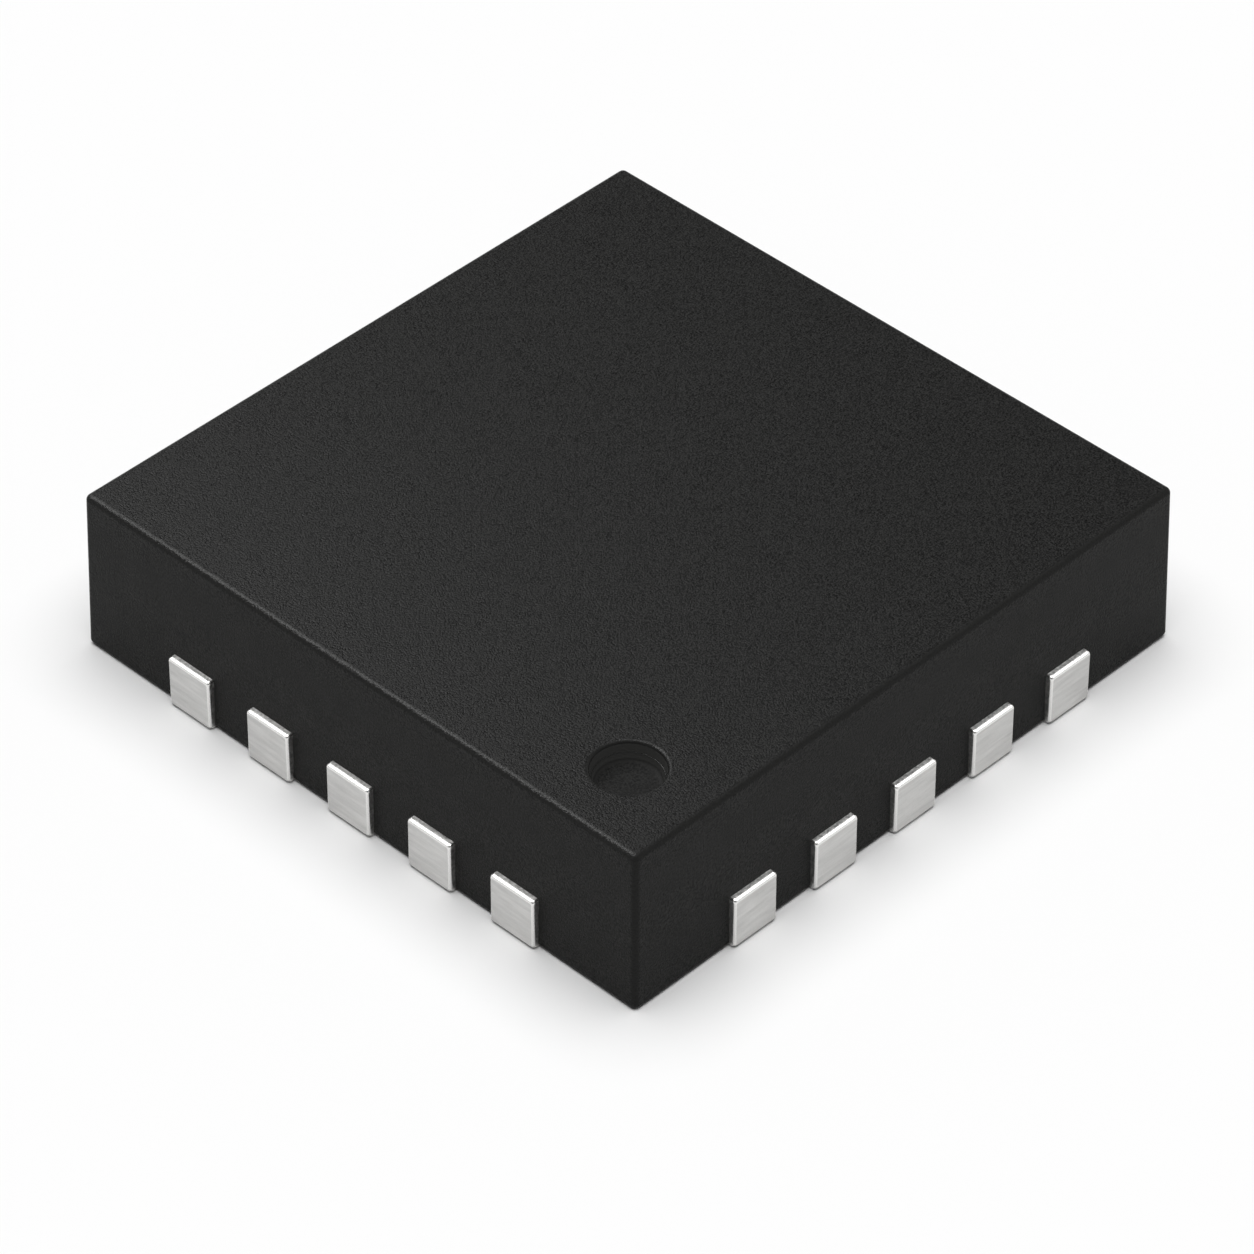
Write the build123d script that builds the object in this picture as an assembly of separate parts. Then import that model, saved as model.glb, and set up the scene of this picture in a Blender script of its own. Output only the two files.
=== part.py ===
from build123d import *
import math
import os

# A square flat no-lead chip, in millimetres.
# The seating plane is z = 0, the origin is under the middle of the chip, and +Z is up.
# The pin 1 corner, with the dimple, is at -X and -Y. Lead 1 is the one nearest to it on the -Y side,
# and the numbers run round the chip counter-clockwise, seen from above.

# Moulded body
body_side = 3.40                # across the base
body_draft = 1.1                # degrees, from the base up
overall_height = 0.85           # from the seating plane to the top face
standoff = 0.015                # from the seating plane to the underside of the moulding
mould_edge_radius = 0.030       # upper and upright edges
mould_bottom_radius = 0.010

# Pin 1 dimple
dimple_diameter = 0.332         # at the top face, before its rim is rounded
dimple_draft = 7.0              # degrees, wall against upright
dimple_depth = 0.095
dimple_inset_x = 0.385          # from the -X edge of the top face to the middle of the dimple
dimple_inset_y = 0.415          # from the -Y edge of the top face
dimple_step_depth = 0.052       # from the top face to the fine step in the wall
dimple_step_width = 0.006
dimple_step_radius = 0.003
dimple_floor_radius = 0.030
dimple_rim_radius = 0.018

# Lead frame sheet, half-etched from below where the moulding has to grip it
frame_thickness = 0.275
half_etched_thickness = 0.14
plan_corner_radius = 0.05       # etched corners of the pad

# Leads
lead_pitch = 0.50
lead_width = 0.26
lead_protrusion = 0.031         # past the base of the body
foot_length = 0.38              # from the outer face to the rounded inner end
finger_width = 0.20
finger_reach = 0.10             # from the end of the foot to the tip of the bond finger
lead_brow_radius = 0.020        # upper edge of the outer face
lead_toe_radius = 0.024         # lower edge of the outer face
lead_corner_radius = 0.014      # upright outer corners, and on from them along the sides
corner_keepout = 0.50           # no lead comes nearer than this to a corner of the body

# Exposed pad and its tie bars
pad_to_finger_gap = 0.23
pad_lip = 0.07                  # the half-etched lip past the exposed face
pin_one_chamfer = 0.30          # leg of the chamfer that marks pin 1 on the pad
pad_bottom_radius = 0.010
tie_bar_width = 0.12
tie_bar_setback = 0.17          # from the corner of the body to the cut end, along the diagonal

# Die and its adhesive
pad_margin = 0.37               # from the edge of the pad to the edge of the die
die_thickness = 0.20
glue_thickness = 0.02
glue_margin = 0.02              # squeezed out past the die
glue_corner_radius = 0.06

# Bond wires
wire_diameter = 0.025
ball_diameter = 0.060
ball_height = 0.016
ball_edge_radius = 0.006
bond_pad_inset = 0.07           # from the edge of the die to the middle of a ball
bond_pad_corner_gap = 0.21      # from the corner of the die to the first ball
loop_height = 0.13              # from the die to the middle of the wire at the top of its loop
loop_crest = 0.18               # level stretch at the top of the loop
neck_radius = 0.05              # bend over the ball
crest_radius = 0.30             # bend where the wire starts down
stitch_inset = 0.09             # from the tip of the finger to the middle of the stitch
stitch_length = 0.075
stitch_width = 0.050
stitch_thickness = 0.008

# What follows from the sizes above
body_height = overall_height - standoff
top_side = body_side - 2 * body_height * math.tan(math.radians(body_draft))
lead_face = body_side / 2 + lead_protrusion
finger_tip = lead_face - foot_length - finger_reach
leads_per_side = int((body_side - 2 * corner_keepout - lead_width) / lead_pitch) + 1
pad_side = 2 * (finger_tip - pad_to_finger_gap)
exposed_side = pad_side - 2 * pad_lip
die_side = pad_side - 2 * pad_margin
glue_side = die_side + 2 * glue_margin
die_bottom = frame_thickness + glue_thickness
die_top = die_bottom + die_thickness
bond_pad_pitch = (die_side - 2 * bond_pad_corner_gap) / max(leads_per_side - 1, 1)
SIDES = 4
QUARTER_TURN = 360 / SIDES


def rounded_bar(length, width, inner_end):
    """Flat shape of a bar along Y with a round inner end, which touches y = inner_end."""
    straight = length - width / 2
    outer = inner_end - length
    shape = Pos(0, outer + straight / 2) * Rectangle(width, straight)
    return shape + Pos(0, outer + straight) * Circle(width / 2)


def lead_foot():
    """The full-thickness end of a lead, which shows at the side and the underside of the chip."""
    outline = rounded_bar(foot_length, lead_width, foot_length - lead_face)
    foot = extrude(outline, frame_thickness)
    foot = fillet(foot.faces().sort_by(Axis.Z)[-1].edges().sort_by(Axis.Y)[0], lead_brow_radius)
    foot = fillet(foot.faces().sort_by(Axis.Z)[0].edges().sort_by(Axis.Y)[0], lead_toe_radius)
    return fillet(foot.edges().filter_by(Axis.Z).group_by(Axis.Y)[0], lead_corner_radius)


def bond_finger():
    """The half-etched tongue of a lead, which the moulding surrounds and the wire is bonded to."""
    reach = foot_length + finger_reach - lead_width / 2
    outline = rounded_bar(reach, finger_width, -finger_tip)
    return Pos(0, 0, frame_thickness - half_etched_thickness) * extrude(outline, half_etched_thickness)


def make_lead():
    return lead_foot() + bond_finger()


def pad_outline(side):
    """Flat shape of the pad: a square with rounded corners and the pin 1 corner cut off."""
    half = side / 2
    corner = Vector(-half, -half)
    cut = Polygon(
        corner,
        corner + Vector(pin_one_chamfer, 0),
        corner + Vector(0, pin_one_chamfer),
        align=None,
    )
    outline = Rectangle(side, side) - cut
    return fillet(outline.vertices(), plan_corner_radius)


def make_die_pad():
    """The pad with its lip and its four tie bars, etched from the same sheet as the leads."""
    exposed = extrude(pad_outline(exposed_side), frame_thickness)
    exposed = fillet(exposed.faces().sort_by(Axis.Z)[0].edges(), pad_bottom_radius)
    bar_length = 2 * (body_side / math.sqrt(2) - tie_bar_setback)
    bar = Rectangle(bar_length, tie_bar_width)
    upper = pad_outline(pad_side) + Rot(0, 0, 45) * bar + Rot(0, 0, -45) * bar
    lip = Pos(0, 0, frame_thickness - half_etched_thickness) * extrude(upper, half_etched_thickness)
    return exposed + lip


def make_glue():
    outline = RectangleRounded(glue_side, glue_side, glue_corner_radius)
    return Pos(0, 0, frame_thickness) * extrude(outline, glue_thickness)


def make_die():
    return Pos(0, 0, die_bottom) * extrude(Rectangle(die_side, die_side), die_thickness)


def wire_path(ball, stitch):
    """Middle line of a wire: up from its ball, level over the edge of the die, down into its stitch."""
    across = (stitch - ball).normalized()
    touch = stitch + Vector(0, 0, frame_thickness)
    crest_start = ball + Vector(0, 0, die_top + loop_height)
    crest_end = crest_start + across * loop_crest
    down = (touch - crest_end).normalized()
    steepness = -down.Z
    points = [
        ball + Vector(0, 0, die_top + ball_height / 2),
        crest_start,
        crest_end,
        touch + down * (wire_diameter / steepness),
    ]
    return FilletPolyline(*points, radius=[neck_radius, crest_radius])


def make_wire(slot):
    """One gold wire with the ball and the flattened stitch at its ends, for a lead of the -Y side."""
    ball = Vector(slot * bond_pad_pitch, bond_pad_inset - die_side / 2)
    stitch = Vector(slot * lead_pitch, -finger_tip - stitch_inset)
    path = wire_path(ball, stitch)
    section = Plane(origin=path @ 0, z_dir=path % 0) * Circle(wire_diameter / 2)
    wire = sweep(section, path)

    head = extrude(Circle(ball_diameter / 2), ball_height)
    head = fillet(head.edges().sort_by(Axis.Z)[-1], ball_edge_radius)
    heading = math.degrees(math.atan2((stitch - ball).Y, (stitch - ball).X))
    flat = extrude(Ellipse(stitch_length / 2, stitch_width / 2), stitch_thickness)
    wire += Pos(ball.X, ball.Y, die_top) * head
    wire += Pos(stitch.X, stitch.Y, frame_thickness) * Rot(0, 0, heading) * flat

    below_finger = Box(body_side, body_side, frame_thickness, align=(Align.CENTER, Align.CENTER, Align.MIN))
    return wire - below_finger


def dimple_cutter():
    """The pin that leaves the dimple: a tapered plug with a fine shoulder and a rounded tip."""
    slope = math.tan(math.radians(dimple_draft))
    tip_length = dimple_depth - dimple_step_depth
    shoulder_radius = dimple_diameter / 2 - dimple_step_depth * slope
    upper_tip_radius = shoulder_radius - dimple_step_width
    lower_tip_radius = upper_tip_radius - tip_length * slope
    on_base = (Align.CENTER, Align.CENTER, Align.MIN)
    tip = Cone(lower_tip_radius, upper_tip_radius, tip_length, align=on_base)
    tip = fillet(tip.edges().sort_by(Axis.Z)[0], dimple_floor_radius)
    shank = Cone(shoulder_radius, dimple_diameter / 2, dimple_step_depth, align=on_base)
    plug = tip + Pos(0, 0, tip_length) * shank
    at_step = plug.edges().filter_by(GeomType.CIRCLE).filter_by_position(Axis.Z, tip_length, tip_length)
    plug = fillet(at_step.sort_by(SortBy.RADIUS)[0], dimple_step_radius)
    corner = -top_side / 2
    return Pos(corner + dimple_inset_x, corner + dimple_inset_y, overall_height - dimple_depth) * plug


def make_block():
    """The moulding before anything is set into it, with the draft of its mould and the dimple."""
    block = extrude(Rectangle(body_side, body_side), body_height, taper=body_draft)
    block = Pos(0, 0, standoff) * block
    block = fillet(block.edges() - block.faces().sort_by(Axis.Z)[0].edges(), mould_edge_radius)
    block = fillet(block.faces().sort_by(Axis.Z)[0].edges(), mould_bottom_radius)
    block -= dimple_cutter()
    rim = block.edges().filter_by(GeomType.CIRCLE).sort_by(Axis.Z)[-1]
    return fillet(rim, dimple_rim_radius)


os.makedirs("parts", exist_ok=True)
nodes = {
    "die_pad": make_die_pad(),
    "die_attach": make_glue(),
    "die": make_die(),
}
lead = make_lead()
number = 0
for side in range(SIDES):
    turn = Rot(0, 0, side * QUARTER_TURN)
    for index in range(leads_per_side):
        number += 1
        slot = index - (leads_per_side - 1) / 2
        nodes[f"lead_{number:02d}"] = turn * Pos(slot * lead_pitch, 0, 0) * lead
        nodes[f"bond_wire_{number:02d}"] = turn * make_wire(slot)

# The moulding fills every space round what it is cast over, so each pocket has the shape of its piece.
nodes["moulded_body"] = make_block() - list(nodes.values())

for name, piece in nodes.items():
    export_step(piece.solid(), f"parts/{name}.step")
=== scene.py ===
import math

import bpy
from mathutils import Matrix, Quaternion, Vector


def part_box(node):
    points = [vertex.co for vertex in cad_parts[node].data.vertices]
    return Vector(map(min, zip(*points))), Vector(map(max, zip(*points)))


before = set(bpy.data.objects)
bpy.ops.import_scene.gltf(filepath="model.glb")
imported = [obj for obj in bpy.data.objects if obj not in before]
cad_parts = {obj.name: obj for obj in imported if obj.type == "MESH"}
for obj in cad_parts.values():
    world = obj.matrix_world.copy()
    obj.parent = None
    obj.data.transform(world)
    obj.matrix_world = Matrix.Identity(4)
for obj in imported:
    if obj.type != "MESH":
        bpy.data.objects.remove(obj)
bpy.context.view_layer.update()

# Exposed die pad. It is etched from one sheet of copper alloy together with its four tie bars, and the
# side that shows under the chip is plated with matte tin, so that it can be soldered to a board.
MM = 0.001
PER_MM = 1 / MM

DULL_TIN = (0.40, 0.397, 0.39)
BRIGHT_TIN = (0.80, 0.795, 0.78)
MOTTLE_MM = 0.012
STREAK_MM = 0.02
CRYSTAL_MM = 0.006
CRYSTAL_DEPTH_MM = 0.0004
MOTTLED_TONES = (0.1, 0.9)
STREAKED_TONES = (0.34, 0.62)
# Tones of the rounded edges, from facing down to facing up: painted shade under the toes, painted highlight
# on the brows.
ROUNDED_PAINTED_LIGHT_TONES = (-0.30, -0.05)
LONG_FACE_ROUGHNESS = (0.28, 0.50)
TOP_ROUGHNESS = (0.38, 0.66)
END_ROUGHNESS = (0.32, 0.50)
ROUNDED_ROUGHNESS = 0.26

END_FACING = (0.8, 0.95)
TOP_FACING = (0.9, 0.95)
FLAT_FACING = (0.94, 0.99)
SAME_EVERY_WAY = (1.0, 1.0, 1.0)


def place_in_mm(tree):
    """Where a point of a piece is, in millimetres, for patterns that belong to its real size."""
    where = tree.nodes.new("ShaderNodeTexCoord")
    scale = tree.nodes.new("ShaderNodeVectorMath")
    scale.operation = "SCALE"
    scale.inputs["Scale"].default_value = PER_MM
    tree.links.new(where.outputs["Object"], scale.inputs[0])
    return scale.outputs["Vector"]


def new_finish(name):
    """A node material with only its shader and its output."""
    finish = bpy.data.materials.new(name)
    finish.use_nodes = True
    tree = finish.node_tree
    tree.nodes.clear()
    shader = tree.nodes.new("ShaderNodeBsdfPrincipled")
    output = tree.nodes.new("ShaderNodeOutputMaterial")
    tree.links.new(shader.outputs["BSDF"], output.inputs["Surface"])
    return finish, tree, shader


def grain_of(tree, place, size_mm, detail=2.0, stretch=SAME_EVERY_WAY):
    """Fine noise whose spots are about size_mm across, drawn out along the axes with a small stretch."""
    squeeze = tree.nodes.new("ShaderNodeVectorMath")
    squeeze.operation = "MULTIPLY"
    squeeze.inputs[1].default_value = stretch
    tree.links.new(place, squeeze.inputs[0])
    noise = tree.nodes.new("ShaderNodeTexNoise")
    noise.inputs["Scale"].default_value = 1 / size_mm
    noise.inputs["Detail"].default_value = detail
    tree.links.new(squeeze.outputs["Vector"], noise.inputs["Vector"])
    return noise.outputs["Fac"]


def spread(tree, value, low, high, start=0.3, end=0.7):
    """Maps the range from start to end, by default the middle of a noise, to the range from low to high."""
    ramp = tree.nodes.new("ShaderNodeMapRange")
    ramp.inputs["From Min"].default_value = start
    ramp.inputs["From Max"].default_value = end
    ramp.inputs["To Min"].default_value = low
    ramp.inputs["To Max"].default_value = high
    tree.links.new(value, ramp.inputs["Value"])
    return ramp.outputs["Result"]


def blend(tree, amount, first, second):
    """A number between two others. Each is worked out by a node, or is plain."""
    mix = tree.nodes.new("ShaderNodeMix")
    tree.links.new(amount, mix.inputs["Factor"])
    for side, number in (("A", first), ("B", second)):
        if isinstance(number, float):
            mix.inputs[side].default_value = number
        else:
            tree.links.new(number, mix.inputs[side])
    return mix.outputs["Result"]


def tint(tree, tone, dark, light):
    """A colour between dark, where the tone is nothing or less, and light, where it is one."""
    mix = tree.nodes.new("ShaderNodeMix")
    mix.data_type = "RGBA"
    mix.inputs["A"].default_value = (*dark, 1)
    mix.inputs["B"].default_value = (*light, 1)
    tree.links.new(tone, mix.inputs["Factor"])
    return mix.outputs["Result"]


def raise_grain(tree, shader, height, depth_mm):
    """Lets a noise stand depth_mm high on the surface."""
    bump = tree.nodes.new("ShaderNodeBump")
    bump.inputs["Distance"].default_value = depth_mm * MM
    tree.links.new(height, bump.inputs["Height"])
    tree.links.new(bump.outputs["Normal"], shader.inputs["Normal"])


def larger(tree, first, second):
    """The larger of two numbers."""
    pick = tree.nodes.new("ShaderNodeMath")
    pick.operation = "MAXIMUM"
    tree.links.new(first, pick.inputs[0])
    tree.links.new(second, pick.inputs[1])
    return pick.outputs["Value"]


def how_it_faces(tree):
    """How squarely the surface faces along X, Y and Z, along the nearest of the three, and upwards."""
    facing = tree.nodes.new("ShaderNodeTexCoord")
    signed = tree.nodes.new("ShaderNodeSeparateXYZ")
    tree.links.new(facing.outputs["Normal"], signed.inputs["Vector"])
    size = tree.nodes.new("ShaderNodeVectorMath")
    size.operation = "ABSOLUTE"
    tree.links.new(facing.outputs["Normal"], size.inputs[0])
    along = tree.nodes.new("ShaderNodeSeparateXYZ")
    tree.links.new(size.outputs["Vector"], along.inputs["Vector"])
    sideways = larger(tree, along.outputs["X"], along.outputs["Y"])
    return along.outputs, larger(tree, sideways, along.outputs["Z"]), signed.outputs["Z"]


def matte_tin(name, end_axis, streak_stretch):
    """Matte tin: streaked on the ends of a bar, mottled on its long faces, glossier where it is rounded,
    and painted paler on rounded edges that face up and duller on those that face down, as painted highlight
    and painted shade.
    """
    finish, tree, shader = new_finish(name)
    place = place_in_mm(tree)
    mottles = grain_of(tree, place, MOTTLE_MM)
    streaks = grain_of(tree, place, STREAK_MM, 3.0, streak_stretch)
    crystals = grain_of(tree, place, CRYSTAL_MM)
    along, squarely, upward = how_it_faces(tree)
    on_end = spread(tree, along[end_axis], 0, 1, *END_FACING)
    on_top = spread(tree, upward, 0, 1, *TOP_FACING)
    rounded = spread(tree, squarely, 1, 0, *FLAT_FACING)

    mottled_tone = spread(tree, mottles, *MOTTLED_TONES)
    flat_tone = blend(tree, on_end, mottled_tone, spread(tree, streaks, *STREAKED_TONES))
    # Rounded edges take their tone from how far they face up: painted highlight on the brows, painted shade
    # under the toes.
    tone = blend(tree, rounded, flat_tone, spread(tree, upward, 0, 1, *ROUNDED_PAINTED_LIGHT_TONES))
    tree.links.new(tint(tree, tone, DULL_TIN, BRIGHT_TIN), shader.inputs["Base Color"])
    shader.inputs["Metallic"].default_value = 1.0

    long_face_rough = spread(tree, mottles, *LONG_FACE_ROUGHNESS)
    bar_rough = blend(tree, on_top, long_face_rough, spread(tree, mottles, *TOP_ROUGHNESS))
    flat_rough = blend(tree, on_end, bar_rough, spread(tree, crystals, *END_ROUGHNESS))
    tree.links.new(blend(tree, rounded, flat_rough, ROUNDED_ROUGHNESS), shader.inputs["Roughness"])
    raise_grain(tree, shader, crystals, CRYSTAL_DEPTH_MM)
    return finish


def dress(node, finish):
    """Gives a carried-over piece of the frame its finish."""
    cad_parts[node].data.materials.clear()
    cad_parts[node].data.materials.append(finish)


dress("die_pad", matte_tin("pad_tin", "Z", SAME_EVERY_WAY))

# Leads. Each is a short bar of the same copper sheet, with a rounded outer end that stands a little
# proud of the moulding and a half-etched finger inside it. They are tin-plated after moulding.
STREAK_STRETCH = 0.12

lead_names = sorted(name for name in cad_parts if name.startswith("lead_"))
tin_along_x = matte_tin("tin_along_x", "X", (1.0, STREAK_STRETCH, 1.0))
tin_along_y = matte_tin("tin_along_y", "Y", (STREAK_STRETCH, 1.0, 1.0))
for name in lead_names:
    low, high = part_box(name)
    runs_along_y = high.y - low.y > high.x - low.x
    dress(name, tin_along_y if runs_along_y else tin_along_x)

# Die attach. A thin layer of epoxy filled with silver flakes glues the die to its pad and carries its
# heat away. It is squeezed out a little all round and cures to a dull grey.
FLAKE_MM = 0.012
FLAKE_DEPTH_MM = 0.002
DULL_SILVER = (0.40, 0.39, 0.37)
PALE_SILVER = (0.62, 0.61, 0.58)


def silver_epoxy():
    """Cured epoxy, half metal in its look from the flakes in it."""
    finish, tree, shader = new_finish("silver_epoxy")
    flakes = grain_of(tree, place_in_mm(tree), FLAKE_MM, 3.0)
    colour = tint(tree, spread(tree, flakes, 0, 1), DULL_SILVER, PALE_SILVER)
    tree.links.new(colour, shader.inputs["Base Color"])
    shader.inputs["Metallic"].default_value = 0.5
    shader.inputs["Roughness"].default_value = 0.55
    raise_grain(tree, shader, flakes, FLAKE_DEPTH_MM)
    return finish


dress("die_attach", silver_epoxy())

# Die. The silicon chip is sawn from a polished wafer, with its circuit in the top face. It is dark, hard
# and glossy, and the silver epoxy holds it to the pad.
CIRCUIT_BLOCK_MM = 0.08
DARK_SILICON = (0.07, 0.075, 0.09)
PALE_SILICON = (0.11, 0.115, 0.14)


def polished_silicon():
    """Polished silicon, whose tone varies a little from block to block of its circuit."""
    finish, tree, shader = new_finish("polished_silicon")
    blocks = grain_of(tree, place_in_mm(tree), CIRCUIT_BLOCK_MM, 4.0)
    colour = tint(tree, spread(tree, blocks, 0, 1), DARK_SILICON, PALE_SILICON)
    tree.links.new(colour, shader.inputs["Base Color"])
    shader.inputs["Metallic"].default_value = 0.8
    shader.inputs["Roughness"].default_value = 0.16
    return finish


dress("die", polished_silicon())

# Bond wires. Each is drawn from fine gold. One end is melted to a ball and pressed on the die, and the
# other end is wedged flat on the finger of a lead.
DRAWING_MARK_MM = 0.01
DEEP_GOLD = (0.80, 0.52, 0.18)
PALE_GOLD = (0.95, 0.66, 0.27)


def drawn_gold():
    """Smooth gold with the faint marks of drawing."""
    finish, tree, shader = new_finish("drawn_gold")
    marks = grain_of(tree, place_in_mm(tree), DRAWING_MARK_MM)
    colour = tint(tree, spread(tree, marks, 0, 1), DEEP_GOLD, PALE_GOLD)
    tree.links.new(colour, shader.inputs["Base Color"])
    shader.inputs["Metallic"].default_value = 1.0
    shader.inputs["Roughness"].default_value = 0.2
    return finish


gold = drawn_gold()
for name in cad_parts:
    if name.startswith("bond_wire_"):
        dress(name, gold)

# Moulded body. Black epoxy filled with silica is pressed round the lead frame in a steel mould, whose
# eroded face leaves a fine grain, strongest on the top. The rounded edges come out smoother, and the
# ground pin that forms the dimple leaves its wall smooth and its floor a little darker. The sides are
# painted paler than the top, and the wall and foot of the dimple paler still, as painted light where
# less light falls on them.
BLACKEST = (0.001, 0.001, 0.001)
PALEST = (0.100, 0.100, 0.096)
GRAIN_MM = 0.008
GRAIN_DEPTH_MM = 0.0028
CLOUD_MM = 0.12
TOP_TONES = (0.04, 0.24)
TOP_PEAKS = (0.43, 0.75)
# Tones of the outer sides, paler than the top's as painted light.
SIDE_PAINTED_LIGHT_TONES = (0.07, 0.40)
SIDE_PEAKS = (0.40, 0.75)
EDGE_TONE = 0.16
CLEAR_ROUGHNESS = (0.22, 0.57)
CLOUDY_ROUGHNESS = (0.30, 0.65)
EDGE_ROUGHNESS = (0.18, 0.46)
COMPOUND_GLOSS = 0.047

FLOOR_TONES = (0.01, 0.17)
# The foot and the wall of the dimple are painted pale: painted light in the shaded recess.
FOOT_PAINTED_LIGHT_TONE = 0.19
WALL_PAINTED_LIGHT_TONE = 0.80
DIMPLE_ROUGHNESS = 0.70
STEP_ROUGHNESS = 0.20
FAINT_RELIEF = (0.3, 0.7)

EDGE_FACING = (0.94, 0.995)
SIDE_FACING = (0.5, 0.9)
WALL_FACING = (0.1, 0.55)
FOOT_FACING = (0.8, 0.98)
STEP_FACING = (0.2, 0.4)
CORNER_TO_DIMPLE_MM = Vector((0.401, 0.431, -0.05))
DIMPLE_REACH_MM = (0.173, 0.179)
FOOT_BELOW_TOP_MM = (0.064, 0.060)

body_low, body_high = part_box("moulded_body")
pin_one_corner_mm = Vector((body_low.x, body_low.y, body_high.z)) * PER_MM


def in_dimple(tree, place):
    """One on the floor and the wall of the dimple, and nothing past them."""
    away = tree.nodes.new("ShaderNodeVectorMath")
    away.operation = "DISTANCE"
    away.inputs[1].default_value = pin_one_corner_mm + CORNER_TO_DIMPLE_MM
    tree.links.new(place, away.inputs[0])
    return spread(tree, away.outputs["Value"], 1, 0, *DIMPLE_REACH_MM)


def above_foot(tree, place):
    """One on the step, the upper wall and the rim of the dimple, and nothing on its foot and its floor."""
    parts = tree.nodes.new("ShaderNodeSeparateXYZ")
    tree.links.new(place, parts.inputs["Vector"])
    below, above = (pin_one_corner_mm.z - depth for depth in FOOT_BELOW_TOP_MM)
    return spread(tree, parts.outputs["Z"], 0, 1, below, above)


def mould_compound():
    """Black moulding compound, whose colour and roughness vary with its grain and from face to face; the
    paler sides and the paler wall and foot of the dimple are painted light.
    """
    finish, tree, shader = new_finish("mould_compound")
    place = place_in_mm(tree)
    fine = grain_of(tree, place, GRAIN_MM, 1.0)
    cloudy = spread(tree, grain_of(tree, place, CLOUD_MM, 3.0), 0, 1)
    along, squarely, _ = how_it_faces(tree)
    dimple = in_dimple(tree, place)
    outer_side = spread(tree, along["Z"], 1, 0, *SIDE_FACING)
    on_side = blend(tree, dimple, outer_side, spread(tree, along["Z"], 1, 0, *WALL_FACING))
    foot_painted_light_mask = spread(tree, along["Z"], 1, 0, *FOOT_FACING)
    on_step = blend(tree, above_foot(tree, place), 0.0, spread(tree, along["Z"], 0, 1, *STEP_FACING))
    on_edge = blend(tree, dimple, spread(tree, squarely, 1, 0, *EDGE_FACING), on_step)

    # The foot of the dimple is painted paler than its floor: painted light in the shade at the bottom of
    # the recess.
    floor_grain_and_painted_foot_light = blend(tree, foot_painted_light_mask, spread(tree, fine, *FLOOR_TONES), FOOT_PAINTED_LIGHT_TONE)
    level_tone = blend(tree, dimple, spread(tree, fine, *TOP_TONES, *TOP_PEAKS), floor_grain_and_painted_foot_light)
    # Upright faces are painted paler than the top, and the dimple wall paler still: painted light where
    # less light falls on them.
    upright_painted_light_tone = blend(tree, dimple, spread(tree, fine, *SIDE_PAINTED_LIGHT_TONES, *SIDE_PEAKS), WALL_PAINTED_LIGHT_TONE)
    flat_tone = blend(tree, on_side, level_tone, upright_painted_light_tone)
    tone = blend(tree, on_edge, flat_tone, EDGE_TONE)
    tree.links.new(tint(tree, tone, BLACKEST, PALEST), shader.inputs["Base Color"])

    clear_rough = spread(tree, fine, *CLEAR_ROUGHNESS)
    outer_rough = blend(tree, cloudy, clear_rough, spread(tree, fine, *CLOUDY_ROUGHNESS))
    flat_rough = blend(tree, dimple, outer_rough, DIMPLE_ROUGHNESS)
    edge_rough = blend(tree, dimple, spread(tree, fine, *EDGE_ROUGHNESS), STEP_ROUGHNESS)
    tree.links.new(blend(tree, on_edge, flat_rough, edge_rough), shader.inputs["Roughness"])
    shader.inputs["Specular IOR Level"].default_value = COMPOUND_GLOSS

    relief = blend(tree, dimple, fine, spread(tree, fine, *FAINT_RELIEF, 0, 1))
    raise_grain(tree, shader, relief, GRAIN_DEPTH_MM)
    return finish


dress("moulded_body", mould_compound())

# White table. The chip lies on a plain white board, matte and without a mark. It reaches far past the
# picture, so the camera sees nothing else round the chip.
TABLE_REACH = 0.6
TABLE_WHITE = (0.93, 0.93, 0.93, 1)


def white_table():
    """White board without any gloss."""
    finish, tree, shader = new_finish("white_table")
    shader.inputs["Base Color"].default_value = TABLE_WHITE
    shader.inputs["Roughness"].default_value = 0.9
    shader.inputs["Specular IOR Level"].default_value = 0.0
    return finish


bpy.ops.mesh.primitive_plane_add(size=2 * TABLE_REACH)
table = bpy.context.object
table.name = "table"
table.data.materials.append(white_table())


# Light. A wide soft box hangs over the chip. Three more give reflections alone: a small one at the back
# left draws the bright line along the front left edge of the moulding, and one on each side whitens the
# brows of the leads.
def soft_box(name, direction, distance, width, level):
    """A round lamp whose own brightness is level, where 1 is white, so a wider one gives more light."""
    lamp = bpy.data.lights.new(name, "AREA")
    lamp.shape = "DISK"
    lamp.size = width
    lamp.energy = level * math.pi * math.pi * width * width / 4
    stand = bpy.data.objects.new(name, lamp)
    bpy.context.scene.collection.objects.link(stand)
    aim = Vector(direction).normalized()
    stand.location = aim * distance
    stand.rotation_mode = "QUATERNION"
    stand.rotation_quaternion = (-aim).to_track_quat("-Z", "Y")
    return stand


def only_reflected_by(lamp, nodes):
    """Turns a lamp on the named pieces alone, where it is seen in their gloss and adds no other light."""
    lamp.visible_diffuse = False
    lit = bpy.data.collections.new("lit_by_" + lamp.name)
    for node in nodes:
        lit.objects.link(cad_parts[node])
    lamp.light_linking.receiver_collection = lit


soft_box("overhead_box", (0.0, 0.0, 1.0), distance=0.6, width=0.72, level=3.69)
back_left_box = soft_box("back_left_box", (-0.10, 0.53, 0.84), distance=0.018, width=0.015, level=20.0)
left_box = soft_box("left_box", (-0.45, 0.53, 0.72), distance=0.6, width=0.50, level=2.0)
right_box = soft_box("right_box", (0.53, -0.45, 0.72), distance=0.6, width=0.50, level=2.0)
only_reflected_by(back_left_box, ["moulded_body"])
only_reflected_by(left_box, lead_names)
only_reflected_by(right_box, lead_names)

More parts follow.
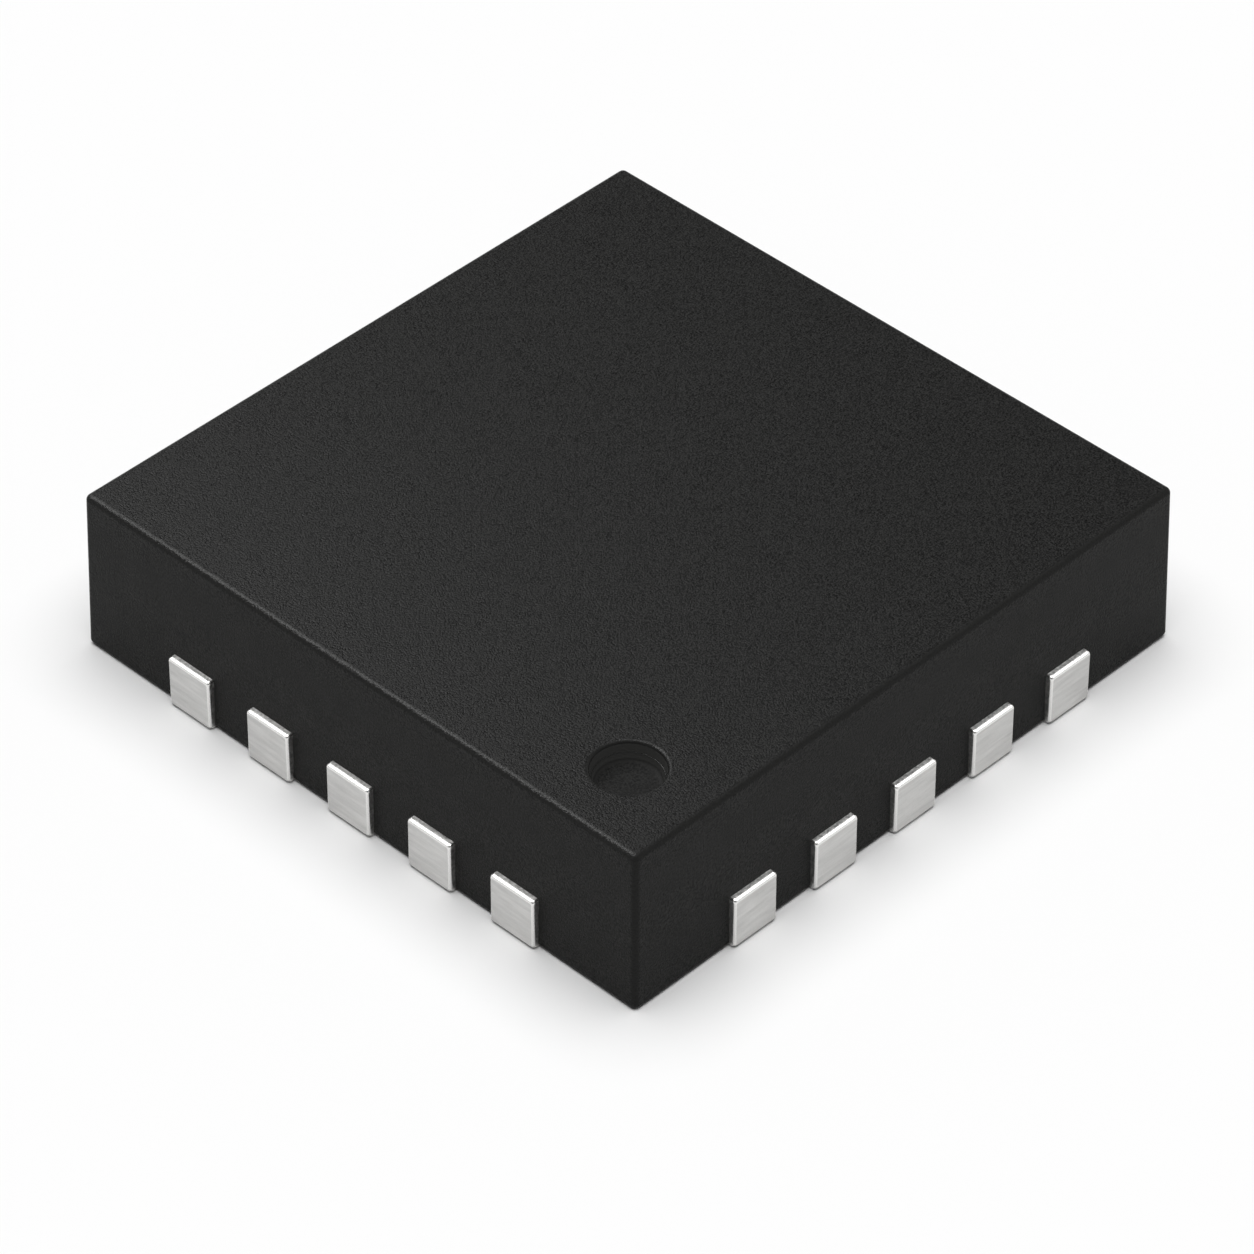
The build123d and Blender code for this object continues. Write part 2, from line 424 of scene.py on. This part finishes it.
# Room. Its walls are white low down and greyer higher up, and they give little light of their own. It is
# dark only round where the photo was taken from, and the corners of the leads mirror that place.
ROOM_LIGHT = 0.11
LOW_WALL = 1.0
HIGH_WALL = 0.25
WALL_HEIGHTS = (0.25, 0.65)
DARK_PLACE = 0.02
TOWARDS_DARK = (-0.545, -0.531, 0.649)
DARK_NEARNESS = (0.82, 0.92)

room = bpy.data.worlds.new("room")
bpy.context.scene.world = room
room.use_nodes = True
room_tree = room.node_tree
room_tree.nodes.clear()
direction = room_tree.nodes.new("ShaderNodeTexCoord")
height = room_tree.nodes.new("ShaderNodeSeparateXYZ")
room_tree.links.new(direction.outputs["Generated"], height.inputs["Vector"])
pale_walls = spread(room_tree, height.outputs["Z"], LOW_WALL, HIGH_WALL, *WALL_HEIGHTS)
nearness = room_tree.nodes.new("ShaderNodeVectorMath")
nearness.operation = "DOT_PRODUCT"
nearness.inputs[1].default_value = TOWARDS_DARK
room_tree.links.new(direction.outputs["Generated"], nearness.inputs[0])
in_dark = spread(room_tree, nearness.outputs["Value"], 0, 1, *DARK_NEARNESS)
walls = blend(room_tree, in_dark, pale_walls, DARK_PLACE)
rays = room_tree.nodes.new("ShaderNodeLightPath")
seen = rays.outputs["Is Camera Ray"]
for kind in ("Is Glossy Ray", "Is Transmission Ray"):
    seen = larger(room_tree, seen, rays.outputs[kind])
glow = room_tree.nodes.new("ShaderNodeBackground")
room_tree.links.new(blend(room_tree, seen, ROOM_LIGHT, walls), glow.inputs["Strength"])
room_output = room_tree.nodes.new("ShaderNodeOutputWorld")
room_tree.links.new(glow.outputs["Background"], room_output.inputs["Surface"])

# Camera. It looks down on the pin 1 corner through a long lens, from where the photo was taken. Its turn,
# height and distance were fitted to the corners and the leads of the chip.
CAMERA_TURN = math.radians(44.32)
CAMERA_HEIGHT = math.radians(40.48)
CAMERA_ROLL = 0.0011
CAMERA_DISTANCE = 29.31 * MM
CAMERA_AIM = Vector((0.0395, 0.0482, 0.015)) * MM
LENS_MM = 188.7
SENSOR_MM = 36.0
NEAREST_SEEN = 1 * MM
FARTHEST_SEEN = 2.0

lens = bpy.data.cameras.new("camera")
lens.lens = LENS_MM
lens.sensor_width = SENSOR_MM
lens.clip_start = NEAREST_SEEN
lens.clip_end = FARTHEST_SEEN
camera = bpy.data.objects.new("camera", lens)
bpy.context.scene.collection.objects.link(camera)
sight = Vector((
    -math.cos(CAMERA_HEIGHT) * math.cos(CAMERA_TURN),
    -math.cos(CAMERA_HEIGHT) * math.sin(CAMERA_TURN),
    math.sin(CAMERA_HEIGHT),
))
camera.location = CAMERA_AIM + sight * CAMERA_DISTANCE
camera.rotation_mode = "QUATERNION"
camera.rotation_quaternion = (-sight).to_track_quat("-Z", "Y") @ Quaternion((0, 0, 1), CAMERA_ROLL)
bpy.context.scene.camera = camera
bpy.context.scene.view_settings.view_transform = "Standard"
